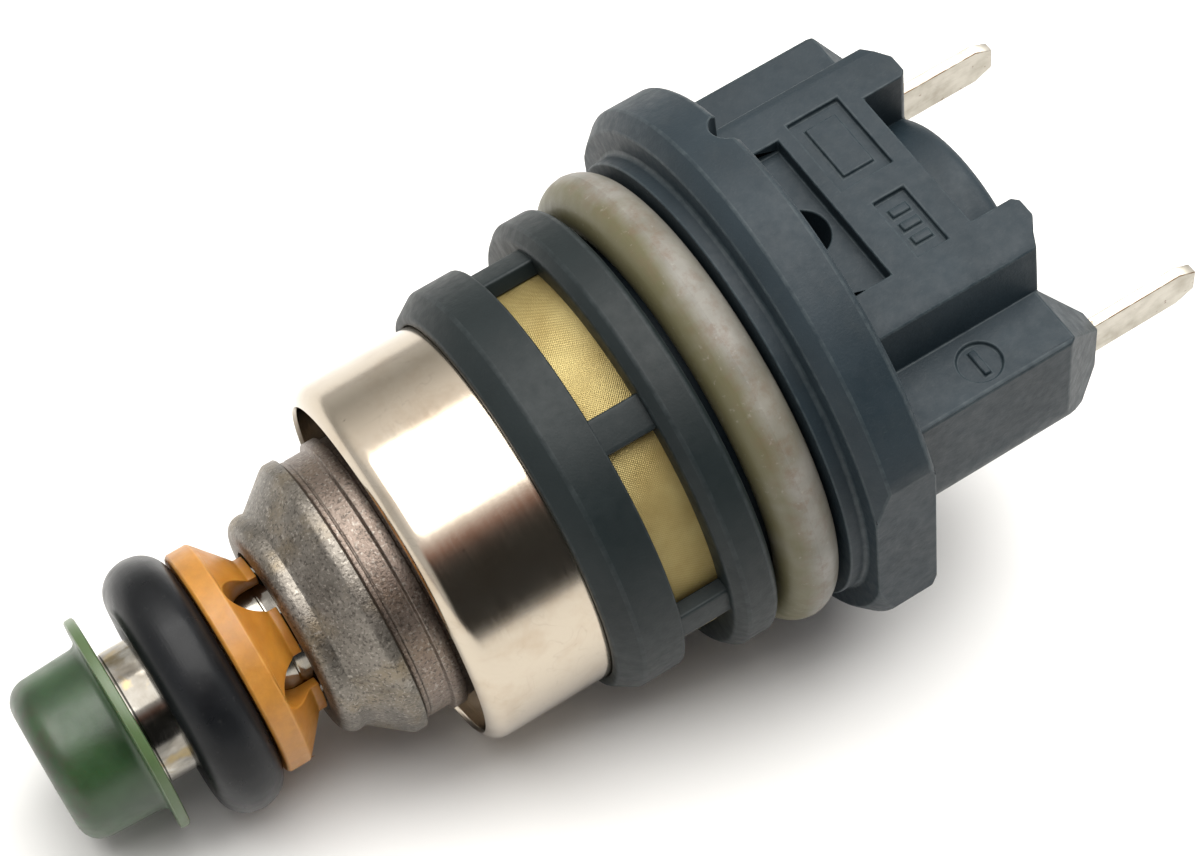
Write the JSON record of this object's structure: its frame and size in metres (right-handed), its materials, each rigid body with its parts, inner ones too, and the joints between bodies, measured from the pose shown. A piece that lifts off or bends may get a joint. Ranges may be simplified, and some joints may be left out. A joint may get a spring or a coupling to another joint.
{
  "type": "fuel injector",
  "caption": "Side-feed throttle-body fuel injector with filter cage, sealing rings, nozzle cap, two blade terminals and a spring-loaded needle valve.",
  "frame": {"origin": "on the injector's axis at the front of the nozzle cap, the lowest point of the injector", "axes": "+Z along the injector's axis from the nozzle to the blades; -Y out of the housing's marked broad face; the two blades stand at +X and -X"},
  "size_m": [0.0284, 0.0308, 0.0652],
  "materials": {
    "housing_plastic": "matte glass-filled moulding",
    "cage_plastic": "satin moulding",
    "blade_tin": "tin-plated, lightly scuffed",
    "grey_rubber": "used, stained",
    "black_rubber": "satin",
    "filter_mesh": "fine woven mesh",
    "can_nickel": "nickel-plated, fine circumferential grain",
    "blasted_steel": "bead-blasted and turned",
    "polished_steel": "ground",
    "orange_plastic": "satin",
    "green_plastic": "glossy, slightly translucent",
    "magnetic_steel": "machined",
    "copper": "enamelled copper wire",
    "bobbin_plastic": "matte",
    "spring_steel": "drawn wire",
    "brass_tube": "turned"
  },
  "bodies": {
    "injector_body": {"connector_housing": "housing_plastic", "terminal_minus": "blade_tin", "terminal_plus": "blade_tin", "upper_o_ring": "grey_rubber", "filter_cage": "cage_plastic", "filter_mesh": "filter_mesh", "coil_can": "can_nickel", "valve_carrier": "blasted_steel", "nozzle_body": "polished_steel", "spacer_ring": "orange_plastic", "lower_o_ring": "black_rubber", "nozzle_cap": "green_plastic", "spray_plate": "polished_steel", "return_spring": "spring_steel", "adjusting_tube": "brass_tube", "core_plug_ball": "polished_steel", "pole_core": "magnetic_steel", "guide_sleeve": "brass_tube", "lift_stop_shim": "magnetic_steel", "coil_bobbin": "bobbin_plastic", "coil_winding": "copper", "coil_seal_upper": "black_rubber", "coil_seal_lower": "black_rubber", "flux_washer": "magnetic_steel"},
    "needle_group": {"valve_needle": "polished_steel", "valve_ball": "polished_steel", "armature": "magnetic_steel"}
  },
  "joints": [
    {"name": "needle_lift", "type": "slide", "parent": "injector_body", "child": "needle_group", "axis": [0, 0, 1], "range_m": [0, 0.00012], "stiffness_N_per_m": 4000, "springref_m": -0.0012, "deforming": ["return_spring"]}
  ]
}
